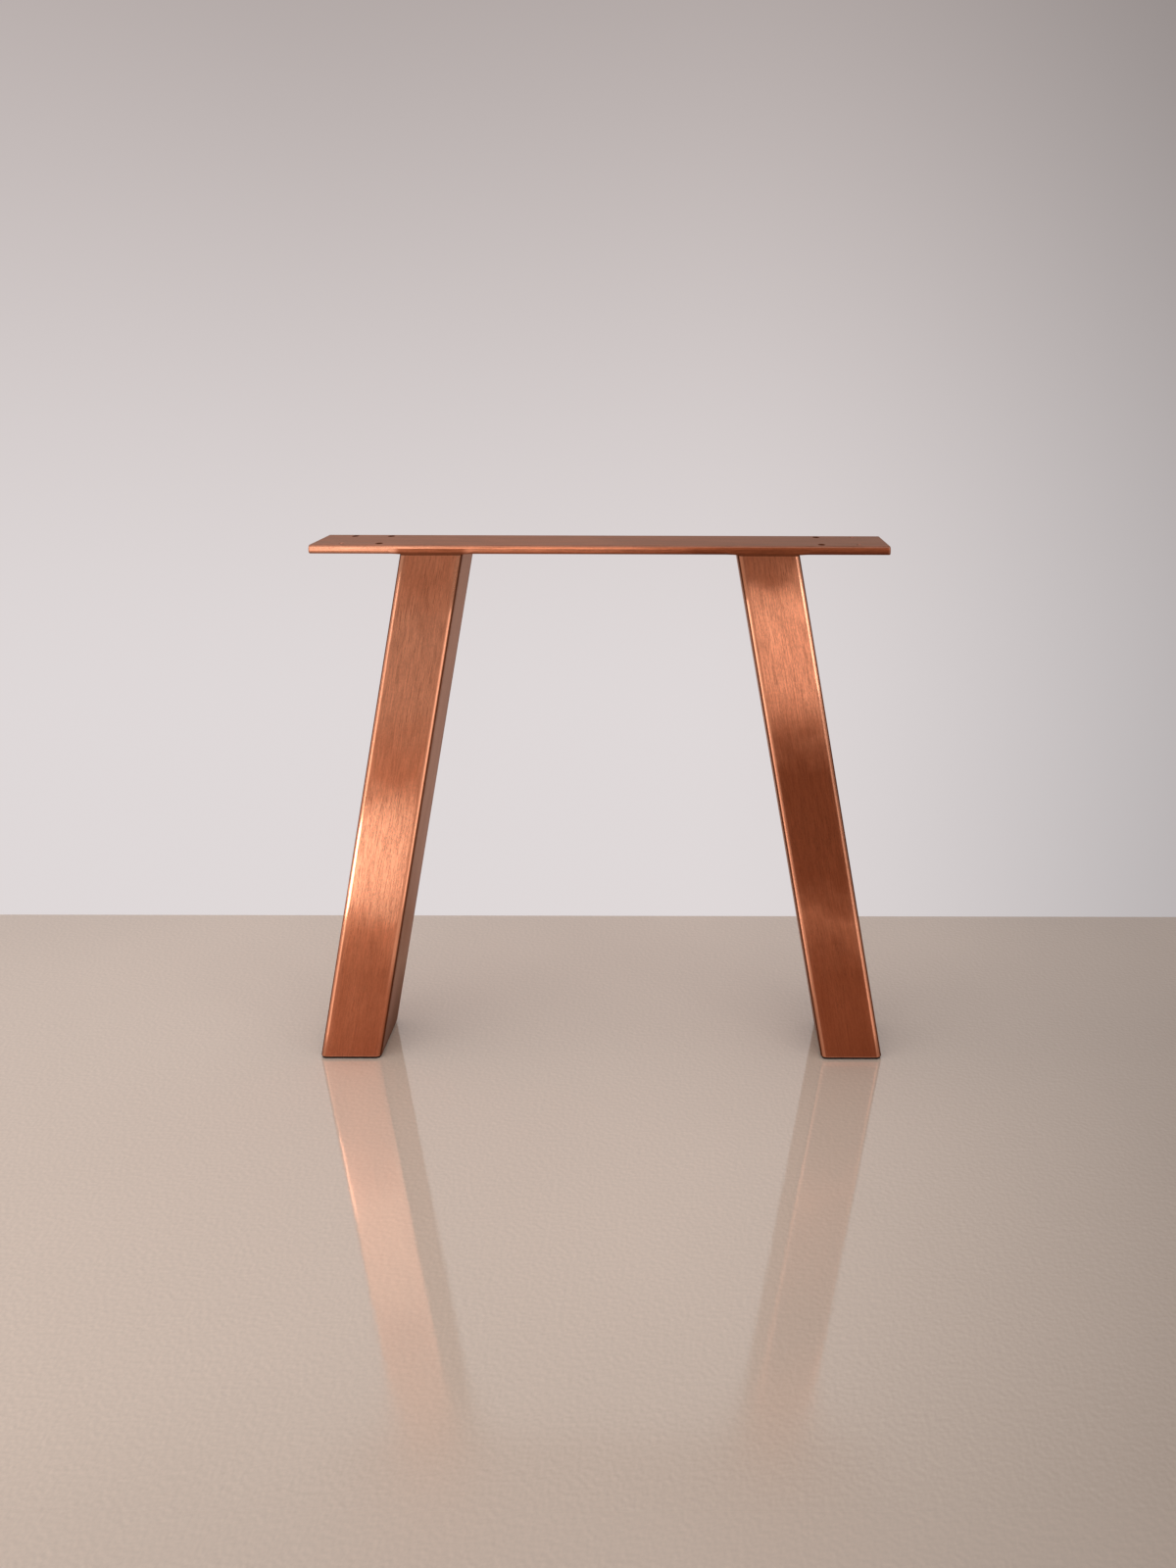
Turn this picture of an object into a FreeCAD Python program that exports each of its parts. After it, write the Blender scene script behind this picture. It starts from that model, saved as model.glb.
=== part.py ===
import FreeCAD
import Part
import math
import os

from FreeCAD import Vector

# Table leg frame of copper-finished steel: one flat plate on two splayed box tubes.
# X runs along the plate, Y from the front face to the back face, Z up.
# The origin lies on the floor, under the middle of the plate.

# Overall sizes
frame_height = 710.0
plate_length = 770.0
plate_depth = 110.0
plate_thickness = 12.0

# Rounding of the plate: its long edges, and the lighter easing of its sawn ends
plate_edge_radius = 5.0
plate_end_radius = 1.5
# Radius on which the rounding of the lower edge runs out beside each tube
run_out_radius = 25.0

# Leg tubes: size square to their own length, wall and outside corners
leg_width = 82.0
leg_wall = 3.0
leg_corner_radius = 8.0
# Distance from the end of the plate to the tube's outer side, at the top and at the foot
leg_inset_top = 120.0
leg_inset_foot = 0.0

# Screw holes towards the table top, four at each end of the plate
hole_diameter = 7.0
hole_end_distance = 40.0
hole_pitch_x = 50.0
hole_pitch_y = 76.0
hole_chamfer = 0.5

# Closing plate welded into each foot, and the pad stuck under it
foot_thickness = 6.0
foot_edge_radius = 1.0
pad_thickness = 2.5
pad_margin = 0.5
pad_corner_radius = 6.5

# Bevel ground on both tube ends, which the weld fills
weld_bevel = 2.0

# Sizes that follow from the values above
leg_depth = plate_depth
front_y = -plate_depth / 2
plate_underside = frame_height - plate_thickness
tube_bottom = pad_thickness + foot_thickness
edge_radius = min(plate_edge_radius, 0.45 * plate_thickness)
end_easing = min(plate_end_radius, 0.8 * edge_radius)
bevel = min(weld_bevel, 0.7 * leg_wall)
foot_rounding = min(foot_edge_radius, 0.45 * foot_thickness)
splay = math.atan2(leg_inset_top - leg_inset_foot, plate_underside - pad_thickness)
leg_level_width = leg_width / math.cos(splay)
outer_at_top = plate_length / 2 - leg_inset_top
outer_at_foot = plate_length / 2 - leg_inset_foot
inner_at_top = outer_at_top - leg_level_width
leg_mid_at_top = outer_at_top - leg_level_width / 2
leg_mid_at_foot = outer_at_foot - leg_level_width / 2

# Overshoot of tools that cut right through
clear = 1.0


def rounded_rectangle(width, depth, radius):
    """Face of a rectangle with round corners, centred on the origin in the XY plane."""
    x = width / 2
    y = depth / 2
    c = radius
    k = radius * (1 - math.sqrt(0.5))
    corners = [
        (Vector(x - c, -y, 0), Vector(x - k, -y + k, 0), Vector(x, -y + c, 0)),
        (Vector(x, y - c, 0), Vector(x - k, y - k, 0), Vector(x - c, y, 0)),
        (Vector(-x + c, y, 0), Vector(-x + k, y - k, 0), Vector(-x, y - c, 0)),
        (Vector(-x, -y + c, 0), Vector(-x + k, -y + k, 0), Vector(-x + c, -y, 0)),
    ]
    edges = []
    for i, (start, middle, end) in enumerate(corners):
        edges.append(Part.Arc(start, middle, end).toShape())
        edges.append(Part.makeLine(end, corners[(i + 1) % 4][0]))
    return Part.Face(Part.Wire(edges))


def level_slab(bottom, top):
    """Block that keeps what lies between two heights."""
    side = 2 * plate_length
    return Part.makeBox(side, side, top - bottom, Vector(-side / 2, -side / 2, bottom))


def leaning_bar(inset, bottom, top):
    """Left leg's outline, set in by a wall, as a solid bar with level ends."""
    radius = max(leg_corner_radius - inset, 0.5)
    section = rounded_rectangle(leg_width - 2 * inset, leg_depth - 2 * inset, radius)
    overrun = leg_width
    section.translate(Vector(0, 0, -overrun))
    bar = section.extrude(Vector(0, 0, frame_height / math.cos(splay) + 2 * overrun))
    bar.rotate(Vector(0, 0, 0), Vector(0, 1, 0), math.degrees(splay))
    bar.translate(Vector(-leg_mid_at_foot, 0, pad_thickness))
    return bar.common(level_slab(bottom, top))


def edges_at(shape, height):
    """Edges of a shape that lie level at one height."""
    found = []
    for edge in shape.Edges:
        box = edge.BoundBox
        if abs(box.ZMin - height) < 1e-4 and abs(box.ZMax - height) < 1e-4:
            found.append(edge)
    return found


def outer_edges_at(shape, height):
    """Edges at one height that bound the outside of a hollow bar, not its bore."""
    wires = Part.sortEdges(edges_at(shape, height))
    loops = [Part.Wire(group) for group in wires]
    loops.sort(key=lambda loop: loop.Length)
    return [e for e in edges_at(shape, height) if any(e.isSame(w) for w in loops[-1].Edges)]


def leg_tube():
    """Left tube, sawn level at both ends and bevelled outside for the welds."""
    outside = leaning_bar(0.0, tube_bottom, plate_underside)
    bore = leaning_bar(leg_wall, tube_bottom - clear, plate_underside + clear)
    tube = outside.cut(bore)
    ends = outer_edges_at(tube, plate_underside) + outer_edges_at(tube, tube_bottom)
    return tube.makeChamfer(bevel, ends)


def weld_ring(tube, bottom, top):
    """Weld that fills the bevel at one end of a tube, ground flush with its sides."""
    ring = leaning_bar(0.0, bottom, top)
    bore = leaning_bar(leg_wall, bottom - clear, top + clear)
    return ring.cut(bore).cut(tube)


def foot_plate():
    """Plate that closes the tube's lower end, its bottom edge rounded."""
    plate = leaning_bar(0.0, pad_thickness, tube_bottom)
    return plate.makeFillet(foot_rounding, edges_at(plate, pad_thickness))


def floor_pad():
    """Thin pad under the left foot, inside the rounding of the foot's bottom edge."""
    inset = foot_rounding + pad_margin
    width = leg_level_width - 2 * inset
    depth = leg_depth - 2 * inset
    pad = rounded_rectangle(width, depth, pad_corner_radius).extrude(Vector(0, 0, pad_thickness))
    pad.translate(Vector(-leg_mid_at_foot, 0, 0))
    return pad


def run_out_angle():
    """Turn after which the rounding tool has left the plate's side."""
    return math.acos(run_out_radius / (run_out_radius + edge_radius))


def run_out_length():
    """Length along the plate in which the rounding fades to a square edge."""
    return (run_out_radius + edge_radius) * math.sin(run_out_angle())


def arc_path(centre, radius, start, end):
    """Arc in the plane of the plate's underside, by its angles in degrees."""
    points = []
    for angle in (start, (start + end) / 2, end):
        turn = math.radians(angle)
        points.append(centre + Vector(radius * math.cos(turn), radius * math.sin(turn), 0))
    return Part.Arc(*points).toShape()


def rounding_tool(path_edges):
    """What the lower edge loses to a quarter-round: a corner section swept along a path."""
    path = Part.Wire(path_edges)
    start = path_edges[0].valueAt(path_edges[0].FirstParameter)
    along = path_edges[0].tangentAt(path_edges[0].FirstParameter)
    inward = Vector(0, 0, 1).cross(along)
    up = Vector(0, 0, edge_radius)
    bend = edge_radius * (1 - math.sqrt(0.5))
    low = start - Vector(0, 0, clear)
    side = start + up
    middle = start + inward * bend + Vector(0, 0, bend)
    bottom = start + inward * edge_radius
    section = Part.Wire([
        Part.Arc(side, middle, bottom).toShape(),
        Part.makeLine(bottom, low + inward * edge_radius),
        Part.makeLine(low + inward * edge_radius, low - inward * clear),
        Part.makeLine(low - inward * clear, side - inward * clear),
        Part.makeLine(side - inward * clear, side),
    ])
    sweep = Part.BRepOffsetAPI.MakePipeShell(path)
    sweep.setBiNormalMode(Vector(0, 0, 1))
    sweep.add(section)
    sweep.build()
    sweep.makeSolid()
    return sweep.shape()


def middle_rounding_tool():
    """Tool along the front edge between the two legs, running out at both of them."""
    z = plate_underside
    reach = inner_at_top - run_out_length()
    turn = 1.2 * math.degrees(run_out_angle())
    centre_y = front_y - run_out_radius
    left = arc_path(Vector(-reach, centre_y, z), run_out_radius, 90 + turn, 90)
    run = Part.makeLine(Vector(-reach, front_y, z), Vector(reach, front_y, z))
    right = arc_path(Vector(reach, centre_y, z), run_out_radius, 90, 90 - turn)
    return rounding_tool([left, run, right])


def end_rounding_tool():
    """Tool along the front edge from beside the right leg to past the end of the plate."""
    z = plate_underside
    begin = outer_at_top + run_out_length()
    turn = 1.2 * math.degrees(run_out_angle())
    return rounding_tool([
        arc_path(Vector(begin, front_y - run_out_radius, z), run_out_radius, 90 + turn, 90),
        Part.makeLine(Vector(begin, front_y, z), Vector(plate_length / 2 + clear, front_y, z)),
    ])


def mirrored_x(shape):
    """The same shape on the other side of the frame's middle."""
    return shape.mirror(Vector(0, 0, 0), Vector(1, 0, 0))


def mirrored_y(shape):
    """The same shape at the back of the frame."""
    return shape.mirror(Vector(0, 0, 0), Vector(0, 1, 0))


def hole_centres():
    """Places of the eight screw holes in the plate."""
    outer = plate_length / 2 - hole_end_distance
    columns = (-outer, -outer + hole_pitch_x, outer - hole_pitch_x, outer)
    return [(x, side * hole_pitch_y / 2) for x in columns for side in (-1, 1)]


def hole_tool(x, y):
    """Screw hole through the plate, its rims broken above and below."""
    radius = hole_diameter / 2
    wide = radius + hole_chamfer
    drill = Part.makeCylinder(radius, plate_thickness + 2 * clear, Vector(x, y, plate_underside - clear))
    upper = Part.makeCone(radius, wide, hole_chamfer, Vector(x, y, frame_height - hole_chamfer))
    lower = Part.makeCone(wide, radius, hole_chamfer, Vector(x, y, plate_underside))
    return drill.fuse([upper, lower])


def plate_bar():
    """Flat bar of the plate's length with its two upper edges rounded."""
    x = -plate_length / 2
    back_y = -front_y
    r = edge_radius
    k = r * (1 - math.sqrt(0.5))
    low_front = Vector(x, front_y, plate_underside)
    side_front = Vector(x, front_y, frame_height - r)
    bend_front = Vector(x, front_y + k, frame_height - k)
    top_front = Vector(x, front_y + r, frame_height)
    top_back = Vector(x, back_y - r, frame_height)
    bend_back = Vector(x, back_y - k, frame_height - k)
    side_back = Vector(x, back_y, frame_height - r)
    low_back = Vector(x, back_y, plate_underside)
    section = Part.Wire([
        Part.makeLine(low_front, side_front),
        Part.Arc(side_front, bend_front, top_front).toShape(),
        Part.makeLine(top_front, top_back),
        Part.Arc(top_back, bend_back, side_back).toShape(),
        Part.makeLine(side_back, low_back),
        Part.makeLine(low_back, low_front),
    ])
    return Part.Face(section).extrude(Vector(plate_length, 0, 0))


def end_edges(shape):
    """Edges of the plate that bound its two sawn ends."""
    found = []
    for edge in shape.Edges:
        box = edge.BoundBox
        if box.XLength < 1e-4 and abs(abs(box.XMin) - plate_length / 2) < 1e-4:
            found.append(edge)
    return found


def top_plate():
    """Plate under the table top: rounded edges, left square below where the tubes stand."""
    plate = plate_bar()
    middle = middle_rounding_tool()
    end = end_rounding_tool()
    for tool in (middle, end, mirrored_x(end)):
        plate = plate.cut(tool)
        plate = plate.cut(mirrored_y(tool))
    plate = plate.makeFillet(end_easing, end_edges(plate))
    for x, y in hole_centres():
        plate = plate.cut(hole_tool(x, y))
    return plate


def as_solid(shape):
    """The single solid that a shape holds."""
    solids = shape.Solids
    if len(solids) != 1:
        raise ValueError("expected one solid, found %d" % len(solids))
    return solids[0]


tube = leg_tube()
left_side = {
    "leg_tube": tube,
    "plate_weld": weld_ring(tube, plate_underside - 1.5 * bevel, plate_underside),
    "foot_weld": weld_ring(tube, tube_bottom, tube_bottom + 1.5 * bevel),
    "foot_plate": foot_plate(),
    "floor_pad": floor_pad(),
}

pieces = {"top_plate": top_plate()}
for name, shape in left_side.items():
    pieces["left_" + name] = shape
    pieces["right_" + name] = mirrored_x(shape)

os.makedirs("parts", exist_ok=True)
for name, shape in pieces.items():
    solid = as_solid(shape)
    solid.exportStep(os.path.join("parts", name + ".step"))
    box = solid.BoundBox
    print("%-18s %9.0f mm3  x %7.1f %7.1f  y %6.1f %6.1f  z %6.1f %6.1f  valid %s" % (
        name, solid.Volume, box.XMin, box.XMax, box.YMin, box.YMax, box.ZMin, box.ZMax, solid.isValid()))
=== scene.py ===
import math

import bpy
from mathutils import Matrix, Vector


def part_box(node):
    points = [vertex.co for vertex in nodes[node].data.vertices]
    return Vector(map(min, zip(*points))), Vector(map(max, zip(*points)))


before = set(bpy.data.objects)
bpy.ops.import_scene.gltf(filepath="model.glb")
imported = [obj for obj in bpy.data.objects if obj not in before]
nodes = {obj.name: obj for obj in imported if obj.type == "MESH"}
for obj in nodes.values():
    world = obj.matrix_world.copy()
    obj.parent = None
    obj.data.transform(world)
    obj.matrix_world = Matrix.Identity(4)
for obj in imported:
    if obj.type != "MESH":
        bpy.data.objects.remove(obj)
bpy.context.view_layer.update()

# Leg tubes
# Two rectangular steel tubes, mitred level at both ends and splayed outwards. They carry a thin
# copper finish that was brushed along the tube by hand and aged brown. Their bright zones and corner
# lines are painted highlight, with some wear on the corners, and their darker zones and sides are
# painted shade.


def connect(tree, socket, value):
    """Sets a socket to a value, or links another node's output to it."""
    if isinstance(value, bpy.types.NodeSocket):
        tree.links.new(value, socket)
    else:
        socket.default_value = value


def add(tree, kind, inputs=None, **settings):
    """New node of a kind, with its settings and its inputs by name or number."""
    node = tree.nodes.new(kind)
    for key, value in settings.items():
        setattr(node, key, value)
    for key, value in (inputs or {}).items():
        connect(tree, node.inputs[key], value)
    return node


def calc(tree, operation, *values):
    """Output of a math node."""
    return add(tree, "ShaderNodeMath", dict(enumerate(values)), operation=operation).outputs[0]


def times(tree, first, second):
    """Product of two values."""
    return calc(tree, "MULTIPLY", first, second)


def without(tree, share):
    """What a share leaves over of the whole."""
    return calc(tree, "SUBTRACT", 1.0, share)


def most(tree, first, *others):
    """Largest of several values."""
    for other in others:
        first = calc(tree, "MAXIMUM", first, other)
    return first


def weigh(tree, start, *marks):
    """Start value plus each mark times its own share."""
    for mark, share in marks:
        start = calc(tree, "MULTIPLY_ADD", mark, share, start)
    return start


def scaled(tree, vector, factors):
    """Vector stretched by a factor for each direction."""
    return add(tree, "ShaderNodeVectorMath", {0: vector, 1: factors}, operation="MULTIPLY").outputs[0]


def noise(tree, vector, scale=1.0, detail=3.0, roughness=0.6, distortion=0.0):
    """Value of a noise texture, about 0 to 1."""
    node = add(tree, "ShaderNodeTexNoise", {
        "Vector": vector, "Scale": scale, "Detail": detail, "Roughness": roughness,
        "Distortion": distortion})
    return node.outputs["Fac"]


def ramp(tree, value, low, high, to_low=0.0, to_high=1.0):
    """Smooth step of a value from one range to another."""
    node = add(tree, "ShaderNodeMapRange", {
        "Value": value, "From Min": low, "From Max": high, "To Min": to_low, "To Max": to_high},
        interpolation_type="SMOOTHSTEP", clamp=True)
    return node.outputs["Result"]


def near_edge(tree, value, edge, band, to_start=0.0, to_end=1.0):
    """Smooth step over a band, given in metres inside an edge by where it starts and where it ends."""
    return ramp(tree, value, edge - band[0], edge - band[1], to_start, to_end)


def blend(tree, share, first, second, kind="MIX"):
    """Colour between two colours."""
    node = add(tree, "ShaderNodeMix", {0: share, 6: first, 7: second}, data_type="RGBA", blend_type=kind)
    return node.outputs[2]


def shaded(tree, level, tone):
    """Colour made darker or lighter by a level."""
    levels = add(tree, "ShaderNodeCombineXYZ", {0: level, 1: level, 2: level}).outputs[0]
    return blend(tree, 1.0, tone, levels, "MULTIPLY")


def new_group(name, inputs, outputs):
    """Empty node group with named sockets, what it is given and what it has to fill in."""
    tree = bpy.data.node_groups.new(name, "ShaderNodeTree")
    kinds = {"value": "NodeSocketFloat", "vector": "NodeSocketVector", "colour": "NodeSocketColor"}
    for direction, sockets in (("INPUT", inputs), ("OUTPUT", outputs)):
        for label, kind in sockets.items():
            tree.interface.new_socket(name=label, in_out=direction, socket_type=kinds[kind])
    given = tree.nodes.new("NodeGroupInput")
    result = tree.nodes.new("NodeGroupOutput")
    return tree, given.outputs, result.inputs


def fill_in(tree, result, values):
    """Links values to the named outputs of a group."""
    for label, value in values.items():
        tree.links.new(value, result[label])


def use(tree, group, inputs):
    """Named outputs of a group that is used in a material."""
    node = tree.nodes.new("ShaderNodeGroup")
    node.node_tree = group
    for label, value in inputs.items():
        connect(tree, node.inputs[label], value)
    return node.outputs


# Place on a leaning tube: across and along the tube, and from front to back
leg_place, given, result = new_group(
    "Place on a leg", {"Position": "vector", "Foot X": "value", "Lean": "value"},
    {"Across": "value", "Depth": "value", "Along": "value", "Place": "vector"})
xyz = add(leg_place, "ShaderNodeSeparateXYZ", {0: given["Position"]}).outputs
axis_x = calc(leg_place, "MULTIPLY_ADD", xyz[2], given["Lean"], given["Foot X"])
shortening = calc(leg_place, "COSINE", calc(leg_place, "ARCTANGENT", given["Lean"]))
across = times(leg_place, calc(leg_place, "SUBTRACT", xyz[0], axis_x), shortening)
along = calc(leg_place, "DIVIDE", xyz[2], shortening)
place = add(leg_place, "ShaderNodeCombineXYZ", {0: across, 1: xyz[1], 2: along}).outputs[0]
fill_in(leg_place, result, {"Across": across, "Depth": xyz[1], "Along": along, "Place": place})

# Brush marks: fine scratches, broader streaks and a fine pitting, long along Z of the place they are
# given. Where the metal is worn they are flattened out. Each kind has its marks per metre in the three
# directions, how rough their noise is, and the noise at which a mark is faintest and strongest.
brush_marks, given, result = new_group(
    "Brush marks", {"Place": "vector", "Worn": "value"},
    {"Fine": "value", "Broad": "value", "Pits": "value", "Height": "value"})
kept = without(brush_marks, given["Worn"])
noise_average = 0.5
marks = {}
for label, per_metre, roughness, faintest, strongest in (
        ("Fine", (760, 760, 34), 0.6, 0.30, 0.70),
        ("Broad", (130, 130, 9), 0.5, 0.30, 0.70),
        ("Pits", (700, 700, 300), 0.6, 0.35, 0.65)):
    stretched = scaled(brush_marks, given["Place"], per_metre)
    uneven = noise(brush_marks, stretched, detail=2.0, roughness=roughness)
    off_average = calc(brush_marks, "SUBTRACT", ramp(brush_marks, uneven, faintest, strongest), noise_average)
    marks[label] = calc(brush_marks, "MULTIPLY_ADD", off_average, kept, noise_average)
marks["Height"] = weigh(
    brush_marks, 0.0, (marks["Fine"], 0.45), (marks["Broad"], 0.25), (marks["Pits"], 0.30))
fill_in(brush_marks, result, marks)

# Ageing of the copper: soft clouds, smaller blotches and small dark freckles
ageing, given, result = new_group(
    "Ageing", {"Place": "vector", "Stretch": "value"},
    {"Clouds": "value", "Blotches": "value", "Freckles": "value"})
stretch = add(ageing, "ShaderNodeCombineXYZ", {0: 1.0, 1: 1.0, 2: given["Stretch"]}).outputs[0]
drawn_out = scaled(ageing, given["Place"], stretch)
dashes = scaled(ageing, given["Place"], (560, 560, 90))
clouds = noise(ageing, drawn_out, scale=9.0, roughness=0.5, distortion=0.6)
blotches = noise(ageing, drawn_out, scale=42.0, detail=4.0, distortion=0.8)
freckles = noise(ageing, dashes, detail=2.0)
fill_in(ageing, result, {
    "Clouds": ramp(ageing, clouds, 0.32, 0.68), "Blotches": ramp(ageing, blotches, 0.35, 0.70),
    "Freckles": ramp(ageing, freckles, 0.62, 0.80)})

# Aged and brushed copper: tone and gloss from the brush marks, the ageing, and painted highlight with
# some wear, painted shade, dullness with painted shade like on the sides of a tube, stain and painted
# shade in dark brown, and matt places. Clear says how plainly the brush marks show. Each mask turns
# the tone, by its share, to a colour of its own.
copper, given, result = new_group(
    "Aged copper",
    {"Fine": "value", "Broad": "value", "Pits": "value", "Clouds": "value", "Blotches": "value",
     "Freckles": "value", "Painted highlight and wear": "value", "Painted shade": "value", "Dull with painted shade": "value",
     "Stain and painted shade": "value", "Matt": "value", "Clear": "value"},
    {"Colour": "colour", "Roughness": "value", "Metallic": "value"})
tone = (0.76, 0.275, 0.148, 1)
# Of these tinges the bright one is painted highlight with some wear, and the deep red-brown, the taupe and
# the darkest are painted shade, the darkest partly also stain and polish
for label, share, tinge in (
        ("Clouds", 1.0, (0.64, 0.215, 0.112, 1)),
        ("Blotches", 0.2, (0.46, 0.135, 0.062, 1)),
        ("Painted shade", 1.0, (0.26, 0.062, 0.024, 1)),
        ("Dull with painted shade", 1.0, (0.42, 0.245, 0.190, 1)),
        ("Painted highlight and wear", 1.0, (0.98, 0.460, 0.290, 1)),
        ("Freckles", 0.22, (0.22, 0.070, 0.040, 1)),
        ("Stain and painted shade", 1.0, (0.08, 0.022, 0.009, 1))):
    tone = blend(copper, times(copper, given[label], share), tone, tinge)
soft_streaks = weigh(copper, 0.81, (given["Broad"], 0.08), (given["Fine"], 0.20), (given["Pits"], 0.10))
clear_streaks = weigh(copper, -0.52, (given["Broad"], 0.12), (given["Fine"], 0.62), (given["Pits"], 0.30))
streaks = calc(copper, "MULTIPLY_ADD", clear_streaks, given["Clear"], soft_streaks)
fill_in(copper, result, {
    "Colour": shaded(copper, streaks, tone),
    "Roughness": weigh(
        copper, 0.26, (given["Clouds"], 0.06), (given["Fine"], 0.10), (given["Dull with painted shade"], 0.08),
        (given["Matt"], 0.30), (given["Stain and painted shade"], 0.35), (given["Painted highlight and wear"], -0.08)),
    "Metallic": weigh(copper, 1.0, (given["Stain and painted shade"], -0.9))})


def new_material(name):
    """Material with an empty tree, its shader node and the object's own coordinates."""
    material = bpy.data.materials.new(name)
    material.use_nodes = True
    tree = material.node_tree
    tree.nodes.clear()
    shader = tree.nodes.new("ShaderNodeBsdfPrincipled")
    surface = tree.nodes.new("ShaderNodeOutputMaterial")
    tree.links.new(shader.outputs[0], surface.inputs[0])
    return material, tree, shader, tree.nodes.new("ShaderNodeTexCoord").outputs["Object"]


def relief(tree, shader, height, distance, strength=1.0):
    """Fine relief on a shader, with the height of the marks in metres."""
    bump = add(tree, "ShaderNodeBump", {"Strength": strength, "Distance": distance, "Height": height})
    tree.links.new(bump.outputs[0], shader.inputs["Normal"])


def copper_finish(tree, shader, marks, age, grazing_tint, changes):
    """Puts the aged copper on a shader, with its marks and age, and changes made to them by name."""
    masks = {label: marks[label] for label in ("Fine", "Broad", "Pits")}
    masks.update({label: age[label] for label in ("Clouds", "Blotches", "Freckles")})
    masks.update(changes)
    finish = use(tree, copper, masks)
    connect(tree, shader.inputs["Base Color"], finish["Colour"])
    connect(tree, shader.inputs["Roughness"], finish["Roughness"])
    connect(tree, shader.inputs["Metallic"], finish["Metallic"])
    shader.inputs["Specular IOR Level"].default_value = 0.0
    shader.inputs["Specular Tint"].default_value = grazing_tint


def dress(node, material):
    """Gives a node of the frame its material in place of the plain one."""
    mesh = nodes[node].data
    mesh.materials.clear()
    mesh.materials.append(material)


def middle(node):
    """Middle of a node's box."""
    lo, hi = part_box(node)
    return (Vector(lo) + Vector(hi)) / 2


def level_half_width(side):
    """Half the width of a tube, measured level."""
    lo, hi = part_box(side + "_plate_weld")
    return (hi[0] - lo[0]) / 2


# Bands in metres inside a tube's side face: the line of painted highlight on its long corners, the glow
# beside it, the side itself with its painted shade, and the border of painted dark shade along it
highlight_line, highlight_glow = (0.0076, 0.0055), (0.0150, 0.0070)
shaded_face, shade_border = (0.0020, 0.0008), (0.0030, 0.0018)
# Bands in metres inside its front and back: where a corner turns to the front, where the side ends at the
# corner, and how far the painted dark shade runs in over the side
turn_to_front, turn_to_side, shade_on_side = (0.0060, 0.0035), (0.0068, 0.0052), (0.010, -0.002)
# How bright the painted highlight line and its glow are, how dark the painted shade is on the border,
# over the side and at the floor, up to what height it is darker there, and how ragged it ends on the
# side, in metres
line_share, glow_share = 0.7, 0.3
border_shade_share, side_shade_share, floor_shade_share, floor_shade_height, ragged_by = 0.95, 0.35, 0.5, 0.13, 0.016
half_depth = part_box("left_leg_tube")[1][1]


def corner_highlight(tree, spot, half_width, painted_dark):
    """Painted highlight: 1 on a tube's rounded long corners, fading out over its front and back where these
    aren't painted dark.
    """
    outward = calc(tree, "ABSOLUTE", spot["Across"])
    line = near_edge(tree, outward, half_width, highlight_line, 0.0, line_share)
    glow = near_edge(tree, outward, half_width, highlight_glow, 0.0, glow_share)
    front = near_edge(tree, calc(tree, "ABSOLUTE", spot["Depth"]), half_depth, turn_to_front)
    return times(tree, weigh(tree, line, (glow, without(tree, painted_dark))), front)


def shaded_side(tree, spot, half_width):
    """1 on a tube's sides, which are painted duller and darker, and the painted dark shade low on them, along
    their borders and on the corners there.
    """
    outward = calc(tree, "ABSOLUTE", spot["Across"])
    inward = calc(tree, "ABSOLUTE", spot["Depth"])
    off_corner = near_edge(tree, inward, half_depth, turn_to_side, 1.0, 0.0)
    side = times(tree, near_edge(tree, outward, half_width, shaded_face), off_corner)
    # Painted dark shade along the side's borders, reaching in from the corners and low down near the floor
    border = times(tree, near_edge(tree, outward, half_width, shade_border, 0.0, border_shade_share),
                   without(tree, off_corner))
    ragged = calc(tree, "MULTIPLY_ADD", noise(tree, spot["Place"], scale=55.0), ragged_by, inward)
    shade_from_corner = near_edge(tree, ragged, half_depth, shade_on_side, 0.0, side_shade_share)
    low_shade = ramp(tree, spot["Along"], 0.0, floor_shade_height, floor_shade_share, 0.0)
    return side, most(tree, times(tree, side, most(tree, shade_from_corner, low_shade)), border)


# How far the border of a zone wanders, in metres
zone_drift = 0.10


def zone(tree, spot, low, high, slant, soft):
    """1 between two heights on a tube, with a slanted and cloudy border, 0 elsewhere."""
    cloudy = calc(tree, "SUBTRACT", noise(tree, spot["Place"], scale=16.0), noise_average)
    slanted = calc(tree, "MULTIPLY_ADD", spot["Across"], slant, spot["Along"])
    level = calc(tree, "ADD", slanted, times(tree, cloudy, zone_drift))
    rise = ramp(tree, level, low - soft, low + soft)
    fall = ramp(tree, level, high - soft, high + soft, 1.0, 0.0)
    return times(tree, rise, fall)


def zones(tree, spot, spans):
    """Strongest of several zones, each given with its own share."""
    return most(tree, 0.0, *[times(tree, zone(tree, spot, *span), share) for *span, share in spans])


# Heights in metres of each tube's zones of painted highlight and of painted shade, the slant and the
# softness of the borders, and how far the change goes
painted_highlight_zones = {
    "left": [(0.206, 0.378, 0.10, 0.030, 0.58), (0.46, 0.63, 0.10, 0.050, 0.48)],
    "right": [(0.490, 0.665, 0.15, 0.035, 0.26)],
}
painted_shade_zones = {
    "left": [(-0.10, 0.160, 0.2, 0.05, 0.48), (0.665, 0.90, 0.0, 0.03, 0.10)],
    "right": [(0.215, 0.458, 0.1, 0.05, 0.86), (-0.10, 0.190, 0.1, 0.08, 0.86),
              (0.672, 0.90, 0.0, 0.02, 0.55)],
}
# Heights between which the brush marks show most clearly, with the slant, the softness and how clearly
clear_zones = {
    "left": [(0.206, 0.378, 0.10, 0.030, 0.50), (0.46, 0.63, 0.10, 0.050, 0.10)],
    "right": [(0.490, 0.665, 0.15, 0.035, 0.60)],
}
# How little painted highlight each tube's right corners get close to the floor, and the heights over which
# that ends
unhighlit_share = {"left": 0.85, "right": 0.0}
unhighlit_low, unhighlit_high = 0.08, 0.16
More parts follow.
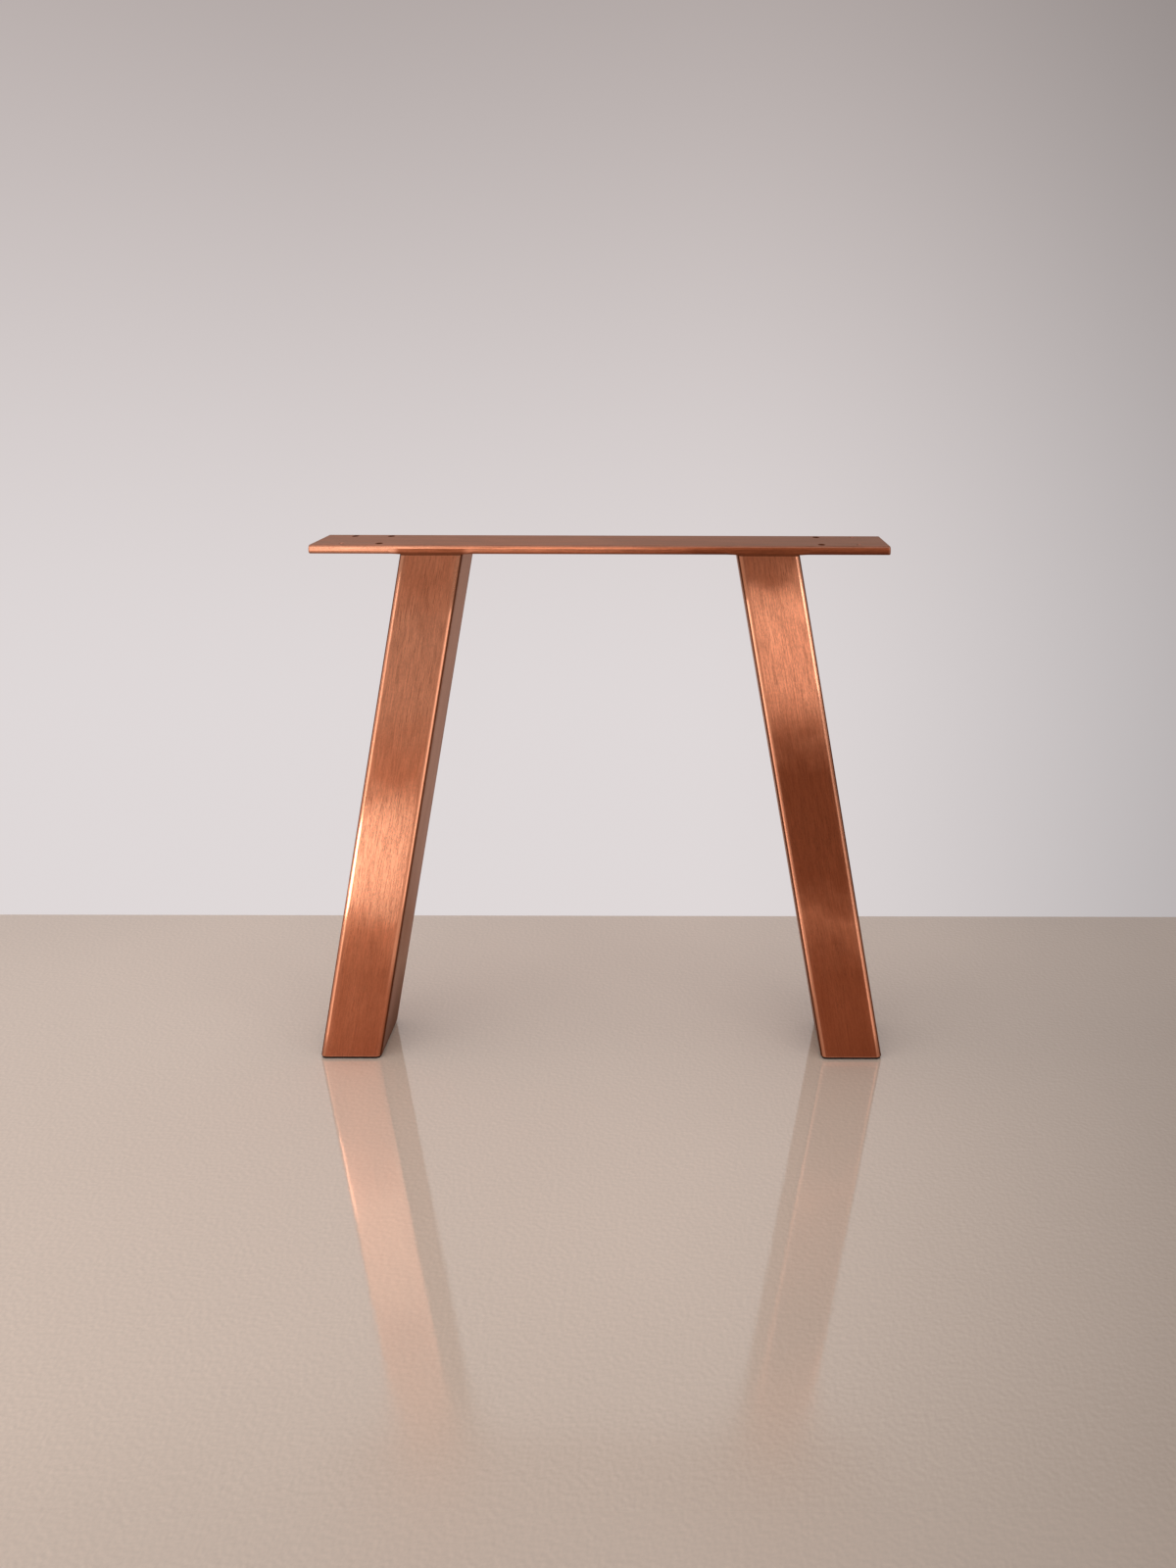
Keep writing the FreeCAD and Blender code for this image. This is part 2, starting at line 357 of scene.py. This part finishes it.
# Heights along the tube: where the weld under the plate begins, with the softness of its dark polish, and
# where the rounding of the foot ends, with the bands below it that get painted highlight and painted shade
weld_start, weld_softness = 0.7062, 0.001
foot_rim, rim_band, sole_band = 0.0052, (0.0012, 0.0), (0.0020, 0.0013)
# How much painted highlight the long corners and the foot's rim get, how far the wear there takes the
# brush marks off, how much dark polish stays in the seams and painted shade under the foot, and how far
# the ageing is drawn out along the tube
corner_highlight_share, rim_highlight_share, marks_rubbed_off = 0.6, 0.3, 0.85
seam_polish_and_sole_shade, leg_stretch = 0.9, 0.45


def leg_material(side):
    """Copper of one tube and what is welded to it, with the brush marks running along the tube."""
    foot = middle(side + "_foot_weld")
    head = middle(side + "_plate_weld")
    lean = (head.x - foot.x) / (head.z - foot.z)
    half_width = level_half_width(side) * math.cos(math.atan(lean))
    material, tree, shader, position = new_material(side + " leg copper")
    spot = use(tree, leg_place, {"Position": position, "Foot X": foot.x - lean * foot.z, "Lean": lean})
    # Zones of painted highlight and of painted shade along the tube
    painted_bright = zones(tree, spot, painted_highlight_zones[side])
    painted_dark = zones(tree, spot, painted_shade_zones[side])
    clear = zones(tree, spot, clear_zones[side])

    # Painted highlight on the long corners, kept off the right corners low down
    on_right = calc(tree, "GREATER_THAN", spot["Across"], 0.0)
    low_down = ramp(tree, spot["Along"], unhighlit_low, unhighlit_high, unhighlit_share[side], 0.0)
    edge = times(tree, corner_highlight(tree, spot, half_width, painted_dark),
                 without(tree, times(tree, on_right, low_down)))
    marks = use(tree, brush_marks, {"Place": spot["Place"], "Worn": times(tree, edge, marks_rubbed_off)})
    age = use(tree, ageing, {"Place": spot["Place"], "Stretch": leg_stretch})

    # The sides get a painted duller, darker shade
    side_dull_and_shaded, side_painted_shade = shaded_side(tree, spot, half_width)
    off_shaded_side = without(tree, side_dull_and_shaded)
    # Painted highlight on the foot's rim and painted shade under it; dark polish in the weld under the plate
    rim = near_edge(tree, spot["Along"], foot_rim, rim_band, rim_highlight_share, 0.0)
    highlight_and_wear = most(tree, times(tree, edge, corner_highlight_share), painted_bright, rim)
    weld_stain = ramp(tree, spot["Along"], weld_start, weld_start + weld_softness, 0.0, seam_polish_and_sole_shade)
    sole_shade = near_edge(tree, spot["Along"], foot_rim, sole_band, seam_polish_and_sole_shade, 0.0)
    copper_finish(tree, shader, marks, age, (0.80, 0.62, 0.52, 1), {
        "Freckles": times(tree, age["Freckles"], without(tree, edge)),
        "Painted highlight and wear": times(tree, highlight_and_wear, off_shaded_side), "Painted shade": painted_dark, "Dull with painted shade": side_dull_and_shaded,
        "Stain and painted shade": most(tree, side_painted_shade, weld_stain, sole_shade),
        "Clear": times(tree, clear, off_shaded_side)})
    # The brushing along the tube draws its highlights out across it
    shader.inputs["Anisotropic"].default_value = 0.6
    tangent = add(tree, "ShaderNodeTangent", direction_type="RADIAL", axis="Z")
    tree.links.new(tangent.outputs[0], shader.inputs["Tangent"])
    relief(tree, shader, marks["Height"], 0.00005)
    return material


leg_copper = {side: leg_material(side) for side in ("left", "right")}
for side in leg_copper:
    dress(side + "_leg_tube", leg_copper[side])

# Welds
# Seams that join each tube to the plate above and to its foot below. They were ground flush and
# finished with the tube, and dark polish has stayed in the one under the plate.
for side in leg_copper:
    dress(side + "_plate_weld", leg_copper[side])
    dress(side + "_foot_weld", leg_copper[side])

# Foot plates
# Thick steel plate that closes the lower end of each tube, welded on and rounded at its lower rim. It
# has the tube's copper finish, with a little painted highlight on the rim and painted shade underneath.
for side in leg_copper:
    dress(side + "_foot_plate", leg_copper[side])

# Top plate
# Flat steel bar with rounded long edges that carries the table top, in the same copper finish. It was
# brushed along its length and is matt on top where the table covers it. It is darker around the screw
# holes. Its top is painted duller, and its top and edges get painted shade towards the right and
# underneath; its edge on the left and its ends get painted highlight. Above the tubes its edge was left
# flat, with painted shade on it.
plate_half_length, plate_half_depth, plate_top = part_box("top_plate")[1]
# Bands in metres under the plate's top: its top face, the rounding below it, the flat of the edge above
# the tubes, and the underside
top_face, upper_rounding, flat_height = (0.0024, 0.0012), (0.0034, 0.0020), (0.0052, 0.0035)
underside = (0.0105, 0.0080)
# Bands in metres inside its front and back: the rounded edge and its upper part; inside its ends: the
# line of painted highlight there
long_edge, edge_upper, end_highlight_band = (0.0060, 0.0040), (0.0048, 0.0036), (0.0035, 0.0015)
# Reach of the flat edge to both sides of a tube's middle, and the reach of the darker mark around a hole
flat_reach, hole_reach = (0.040, 0.052), (0.0038, 0.0056)
# Screw holes: how far the two columns are from the plate's middle, and the rows from its long axis
hole_columns, hole_row = (plate_half_length - 0.040, plate_half_length - 0.090), 0.038
# How the plate's edge and top get painted shade and its edge a darker painted shade towards the right:
# from and to where, and how far at both ends; how far the border of this wanders, in metres
edge_shade_span, top_shade_span = (-0.03, 0.17, 0.0, 0.90), (-0.15, 0.33, 0.0, 0.52)
edge_dark_shade_span = (0.05, 0.24, 0.0, 0.38)
shade_drift = 0.12
# Where on the left its edge gets painted highlight, in the same way, and how far its thin painted
# highlight line at the ends is
left_highlight_span, end_highlight_share = (-0.30, -0.12, 0.55, 0.0), 0.35

material, tree, shader, position = new_material("plate copper")
turned = add(tree, "ShaderNodeSeparateXYZ", {0: position}).outputs
# The brush marks are long along Z, so the plate's length is turned to Z for them
place = add(tree, "ShaderNodeCombineXYZ", {0: turned[1], 1: turned[2], 2: turned[0]}).outputs[0]
marks = use(tree, brush_marks, {"Place": place})
age = use(tree, ageing, {"Place": place, "Stretch": 0.3})
from_side = calc(tree, "ABSOLUTE", turned[0])
from_middle = calc(tree, "ABSOLUTE", turned[1])
on_top = near_edge(tree, turned[2], plate_top, top_face)
underneath = near_edge(tree, turned[2], plate_top, underside, 1.0, 0.0)
edge = times(tree, near_edge(tree, from_middle, plate_half_depth, long_edge), without(tree, on_top))
from_tube = calc(tree, "SUBTRACT", from_side, middle("right_plate_weld").x)
flat = times(tree, ramp(tree, calc(tree, "ABSOLUTE", from_tube), *flat_reach, 1.0, 0.0),
             near_edge(tree, turned[2], plate_top, flat_height, 1.0, 0.0))

# Painted shade towards the right on the plate's edges and top, with a wandering border
drift = weigh(tree, -shade_drift / 2, (noise(tree, place, scale=14.0), shade_drift))
rightward = calc(tree, "ADD", turned[0], drift)
edge_painted_shade = times(tree, edge, ramp(tree, rightward, *edge_shade_span))
top_painted_shade = times(tree, on_top, ramp(tree, rightward, *top_shade_span))
edge_dark_shade = times(tree, edge, ramp(tree, rightward, *edge_dark_shade_span))
# The upper rounding is darker near the long edges
upper_darkening = times(tree, near_edge(tree, turned[2], plate_top, upper_rounding),
                      near_edge(tree, from_middle, plate_half_depth, edge_upper, 0.0, 0.30))

# Darker around the screw holes, drawn out towards front and back. Of the outer holes only the one at
# the back on the left is darker.
near_x = calc(tree, "MINIMUM", *[
    calc(tree, "ABSOLUTE", calc(tree, "SUBTRACT", from_side, column)) for column in hole_columns])
near_y = times(tree, calc(tree, "SUBTRACT", from_middle, hole_row), 0.6)
from_hole = calc(tree, "SQRT", calc(tree, "ADD", times(tree, near_x, near_x), times(tree, near_y, near_y)))
outer_hole = calc(tree, "GREATER_THAN", from_side, sum(hole_columns) / 2)
left_back = times(tree, calc(tree, "LESS_THAN", turned[0], 0.0), calc(tree, "GREATER_THAN", turned[1], 0.0))
plain_hole = times(tree, outer_hole, without(tree, left_back))
hole_darkening = times(tree, ramp(tree, from_hole, *hole_reach, 1.0, 0.0), without(tree, plain_hole))

# Painted highlight along the edge on the left, apart from the flat parts, and on a thin line at both ends
edge_highlight = times(tree, times(tree, edge, ramp(tree, turned[0], *left_highlight_span)), without(tree, flat))
end_highlight = times(tree, edge, near_edge(tree, from_side, plate_half_length, end_highlight_band, 0.0, end_highlight_share))
# Painted shade on the right, over the flat parts and underneath, and a duller painted shade on top
copper_finish(tree, shader, marks, age, (0.66, 0.64, 0.58, 1), {
    "Painted highlight and wear": most(tree, edge_highlight, end_highlight),
    "Painted shade": most(tree, edge_painted_shade, top_painted_shade, times(tree, flat, 0.75)),
    "Dull with painted shade": times(tree, on_top, 0.6),
    "Stain and painted shade": most(tree, hole_darkening, edge_dark_shade, upper_darkening, times(tree, underneath, 0.55)),
    "Matt": most(tree, times(tree, on_top, 0.22), hole_darkening, underneath),
    "Clear": 0.15})
relief(tree, shader, marks["Height"], 0.00002)
dress("top_plate", material)

# Floor pads
# Thin sheet of black rubber under each foot that keeps the steel off the floor. It was cut to the
# foot's outline, a little smaller than its rounded edge, and is stuck on.
rubber_black, rubber_grey = (0.010, 0.009, 0.009, 1), (0.030, 0.028, 0.027, 1)
material, tree, shader, position = new_material("pad rubber")
speckle = noise(tree, position, scale=900.0)
connect(tree, shader.inputs["Base Color"], blend(tree, speckle, rubber_black, rubber_grey))
connect(tree, shader.inputs["Roughness"], ramp(tree, speckle, 0.2, 0.8, 0.65, 0.85))
shader.inputs["Specular IOR Level"].default_value = 0.2
relief(tree, shader, speckle, 0.00008)
for side in ("left", "right"):
    dress(side + "_floor_pad", material)

# Floor and wall
# Smooth sealed floor of warm grey that mirrors the legs, made lighter on the left by painted light, and
# duller close to the camera. A pale wall of paper stands behind the object and meets the floor in a
# straight line.
# How far the wall stands behind the object's middle, and how far wall and floor reach, in metres
wall_y = 0.42
room = 6.0


def studio_face(name, corners, material):
    """Flat piece of the studio."""
    mesh = bpy.data.meshes.new(name)
    mesh.from_pydata(corners, [], [(0, 1, 2, 3)])
    mesh.materials.append(material)
    face = bpy.data.objects.new(name, mesh)
    bpy.context.collection.objects.link(face)


# The floor's clouds and grit
floor_dark, floor_light = (0.42, 0.346, 0.290, 1), (0.46, 0.379, 0.320, 1)
floor_grit, grit_share = (0.26, 0.20, 0.16, 1), 0.10
# How the painted light and shade run over the floor: from and to where in metres, and the tone at both ends
across_floor, left_part = (0.05, 1.0, 1.43, 0.90), (-0.70, -0.25, 1.07, 1.0)
front_part, front_slant = (-1.15, -0.35, 0.80, 1.0), -0.45
# By the wall the painted light grows lighter to the right of this place and darker to its left
wall_part, wall_part_middle = (-0.05, 0.35, 0.0, 0.12), -0.75
# Painted light and shade of small bumps on the floor: how many per metre, how far their light and dark
# sides are apart, and how much they show
bumps_per_metre, bump_offset, bump_tone = 190.0, (-0.0022, -0.0022, 0.0), 0.22
# Towards the camera its polish is lost: from and to where, and the roughness at both ends
polish_lost = (-0.58, -0.82, 0.04, 0.30)

material, tree, shader, position = new_material("sealed floor")
xyz = add(tree, "ShaderNodeSeparateXYZ", {0: position}).outputs
cloudy = noise(tree, position, scale=2.2, detail=4.0, roughness=0.55)
gritty = noise(tree, position, scale=150.0)
tone = blend(tree, cloudy, floor_dark, floor_light)
tone = blend(tree, times(tree, gritty, grit_share), tone, floor_grit)
shifted = add(tree, "ShaderNodeVectorMath", {0: position, 1: bump_offset}, operation="ADD").outputs[0]
lit_side, dark_side = [noise(tree, spot, scale=bumps_per_metre, detail=2.0) for spot in (position, shifted)]
painted_bump_shade = calc(tree, "SUBTRACT", lit_side, dark_side)
forward = calc(tree, "MULTIPLY_ADD", xyz[0], front_slant, xyz[1])
rightward = calc(tree, "SUBTRACT", xyz[0], wall_part_middle)
by_wall = times(tree, ramp(tree, xyz[1], *wall_part), rightward)
# Painted light and shade over the floor and on its small bumps
lit = times(tree, ramp(tree, xyz[0], *across_floor), ramp(tree, forward, *front_part))
lit = times(tree, lit, calc(tree, "ADD", by_wall, ramp(tree, xyz[0], *left_part)))
lit = times(tree, lit, calc(tree, "MULTIPLY_ADD", painted_bump_shade, bump_tone, 1.0))
connect(tree, shader.inputs["Base Color"], shaded(tree, lit, tone))
connect(tree, shader.inputs["Roughness"], ramp(tree, xyz[1], *polish_lost))
shader.inputs["IOR"].default_value = 2.0
relief(tree, shader, gritty, 0.0002, 0.2)
studio_face("floor", [(-room, -room, 0), (room, -room, 0), (room, room, 0), (-room, room, 0)], material)

# The paper's glow is painted light, a little less towards the top and towards the right: from and to
# where in metres, and the glow at both ends. It is see-through from behind, so that the back of the
# object can be looked at.
glow_low, glow_high = (0.723, 0.676, 0.678, 1), (0.723, 0.630, 0.605, 1)
paper_dark, paper_light = (0.66, 0.62, 0.62, 1), (0.70, 0.66, 0.66, 1)
wall_height, top_left, across_wall = (0.3, 2.1), (-1.1, -0.4, 0.07, 0.0), (0.1, 1.5, 1.02, 0.52)
glow_lost_at_top = -0.5

material, tree, shader, position = new_material("wall paper")
xyz = add(tree, "ShaderNodeSeparateXYZ", {0: position}).outputs
upward = ramp(tree, xyz[2], *wall_height)
high_left = times(tree, upward, ramp(tree, xyz[0], *top_left))
level = calc(tree, "MULTIPLY_ADD", upward, glow_lost_at_top, calc(tree, "ADD", high_left, 1.0))
level = times(tree, level, ramp(tree, xyz[0], *across_wall))
# Painted light of the wall, seen by the camera and in reflections
seen = shaded(tree, level, blend(tree, upward, glow_low, glow_high))
mottled = noise(tree, position, scale=1.5, detail=2.0, roughness=0.5)
connect(tree, shader.inputs["Base Color"], blend(tree, mottled, paper_dark, paper_light))
shader.inputs["Roughness"].default_value = 0.9
glow = add(tree, "ShaderNodeEmission", {"Color": seen, "Strength": 1.0})
ray = add(tree, "ShaderNodeLightPath").outputs
direct = most(tree, ray["Is Camera Ray"], ray["Is Glossy Ray"], ray["Is Transmission Ray"])
mixed = add(tree, "ShaderNodeMixShader", {0: direct, 1: shader.outputs[0], 2: glow.outputs[0]})
behind = add(tree, "ShaderNodeNewGeometry").outputs["Backfacing"]
clear_film = add(tree, "ShaderNodeBsdfTransparent").outputs[0]
open_back = add(tree, "ShaderNodeMixShader", {0: behind, 1: mixed.outputs[0], 2: clear_film})
tree.links.new(open_back.outputs[0], tree.nodes["Material Output"].inputs[0])
studio_face(
    "wall", [(-room, wall_y, 0), (room, wall_y, 0), (room, wall_y, room), (-room, wall_y, room)], material)

# Light
# Soft studio light: a wide panel overhead, one high on the left, one above the camera that is flagged
# off the right leg, a weaker one on the right, and a dim even surround. Strips close to the legs and
# the plate show as the bright bands and lines in their brushed fronts and corners.
world = bpy.data.worlds.new("studio")
bpy.context.scene.world = world
world.use_nodes = True
surround = world.node_tree.nodes["Background"].inputs
surround["Color"].default_value = (0.95, 0.93, 0.92, 1)
surround["Strength"].default_value = 0.5
lamp_white = (1.0, 0.98, 0.96)


def panel(name, place, target, width, height, power):
    """Soft rectangular light that faces a target."""
    lamp = bpy.data.lights.new(name, "AREA")
    lamp.shape = "RECTANGLE"
    lamp.size = width
    lamp.size_y = height
    lamp.energy = power
    lamp.color = lamp_white
    light = bpy.data.objects.new(name, lamp)
    light.location = place
    light.rotation_euler = (Vector(target) - Vector(place)).to_track_quat("-Z", "Y").to_euler()
    bpy.context.collection.objects.link(light)
    return light


panel("top panel", (-0.5, -0.5, 2.7), (-0.3, -0.1, 0), width=2.6, height=1.6, power=20)
panel("key panel", (-2.2, -1.9, 1.9), (0, 0, 0.3), width=1.5, height=1.3, power=10)
front_panel = panel("front panel", (0.0, -2.6, 1.75), (0, 0, 0.2), width=3.0, height=1.0, power=17)
flagged = bpy.data.collections.new("flagged off")
flagged.objects.link(nodes["right_leg_tube"])
for member in flagged.collection_objects:
    member.light_linking.link_state = "EXCLUDE"
front_panel.light_linking.receiver_collection = flagged
panel("fill panel", (2.0, -1.9, 1.1), (0, 0, 0.4), width=0.6, height=1.4, power=7)


def strip(name, piece, place, target, width, height, power):
    """Strip of light close to a piece, which that piece alone receives."""
    light = panel(name, place, target, width, height, power)
    receiver = bpy.data.collections.new(name + " receiver")
    receiver.objects.link(nodes[piece])
    light.light_linking.receiver_collection = receiver
    return light


# Distance of a corner strip from the corner that it lights, and its width
corner_distance, corner_width = 0.10, 0.042


def corner_strip(side, outward, turn, low, high, radiance):
    """Narrow strip that leans with a tube and shows as a bright line on one of its long front corners."""
    foot, head = middle(side + "_foot_weld"), middle(side + "_plate_weld")
    axis = (head - foot).normalized()
    on_axis = foot + axis * (((low + high) / 2 - foot.z) / axis.z)
    corner = on_axis + Vector((level_half_width(side) * outward, -half_depth, 0.0))
    away = Vector((math.sin(turn) * outward, -math.cos(turn), 0.0))
    sideways = axis.cross(away).normalized()
    length = high - low
    power = radiance * math.pi * corner_width * length
    light = strip("corner strip", side + "_leg_tube", corner + away * corner_distance, corner,
                  corner_width, length, power)
    light.rotation_euler = Matrix((sideways, away.cross(sideways), away)).transposed().to_euler()


strip("left low strip", "left_leg_tube", (-0.376, -0.405, 0.151), (-0.376, 0, 0.151),
      width=0.14, height=0.175, power=0.060)
strip("right high strip", "right_leg_tube", (0.275, -0.405, 0.492), (0.275, 0, 0.492),
      width=0.14, height=0.19, power=0.096)
strip("plate end strip", "top_plate", (-0.516, -0.60, 0.60), (-0.33, -0.05, 0.70),
      width=0.26, height=0.30, power=0.26)
strip("plate middle strip", "top_plate", (-0.25, -0.60, 0.59), (-0.15, -0.05, 0.70),
      width=0.22, height=0.26, power=0.06)
# Tube, its left (-1) or right (1) corner, turn to that side in degrees, lower and upper end, brightness
for side, outward, degrees, low, high, radiance in (
        ("left", -1, 48, 0.0, 0.66, 1.15),
        ("left", -1, 50, 0.22, 0.66, 0.9),
        ("left", -1, 50, 0.175, 0.305, 8.0),
        ("left", -1, 38, 0.180, 0.300, 2.5),
        ("left", 1, 61, 0.13, 0.60, 1.3),
        ("right", -1, 75, 0.0, 0.62, 1.7),
        ("right", 1, 46, 0.0, 0.66, 0.9),
        ("right", 1, 48, 0.50, 0.66, 2.5)):
    corner_strip(side, outward, math.radians(degrees), low, high, radiance)

# Camera
# It stands in front of the object and a little to its right, higher than the plate, and looks slightly
# down. The shift puts the object in the frame where the photograph has it.
image_width, image_height = 1200, 1600
sensor = 36.0
focal_pixels = 1350.0
shift_pixels = (-100.0, -300.0)
camera_place = (0.1095, -1.7880, 0.9473)
yaw, pitch, roll = math.radians(0.143), math.radians(5.373), math.radians(0.177)
camera_data = bpy.data.cameras.new("camera")
camera_data.sensor_width = sensor
camera_data.lens = focal_pixels / image_height * sensor
camera_data.shift_x = shift_pixels[0] / image_height
camera_data.shift_y = shift_pixels[1] / image_height
camera = bpy.data.objects.new("camera", camera_data)
turned_right, tilted = Matrix.Rotation(-yaw, 3, "Z"), Matrix.Rotation(math.pi / 2 - pitch, 3, "X")
aim = turned_right @ tilted @ Matrix.Rotation(roll, 3, "Z")
camera.matrix_world = Matrix.Translation(camera_place) @ aim.to_4x4()
bpy.context.collection.objects.link(camera)
bpy.context.scene.camera = camera
bpy.context.scene.view_settings.view_transform = "Standard"
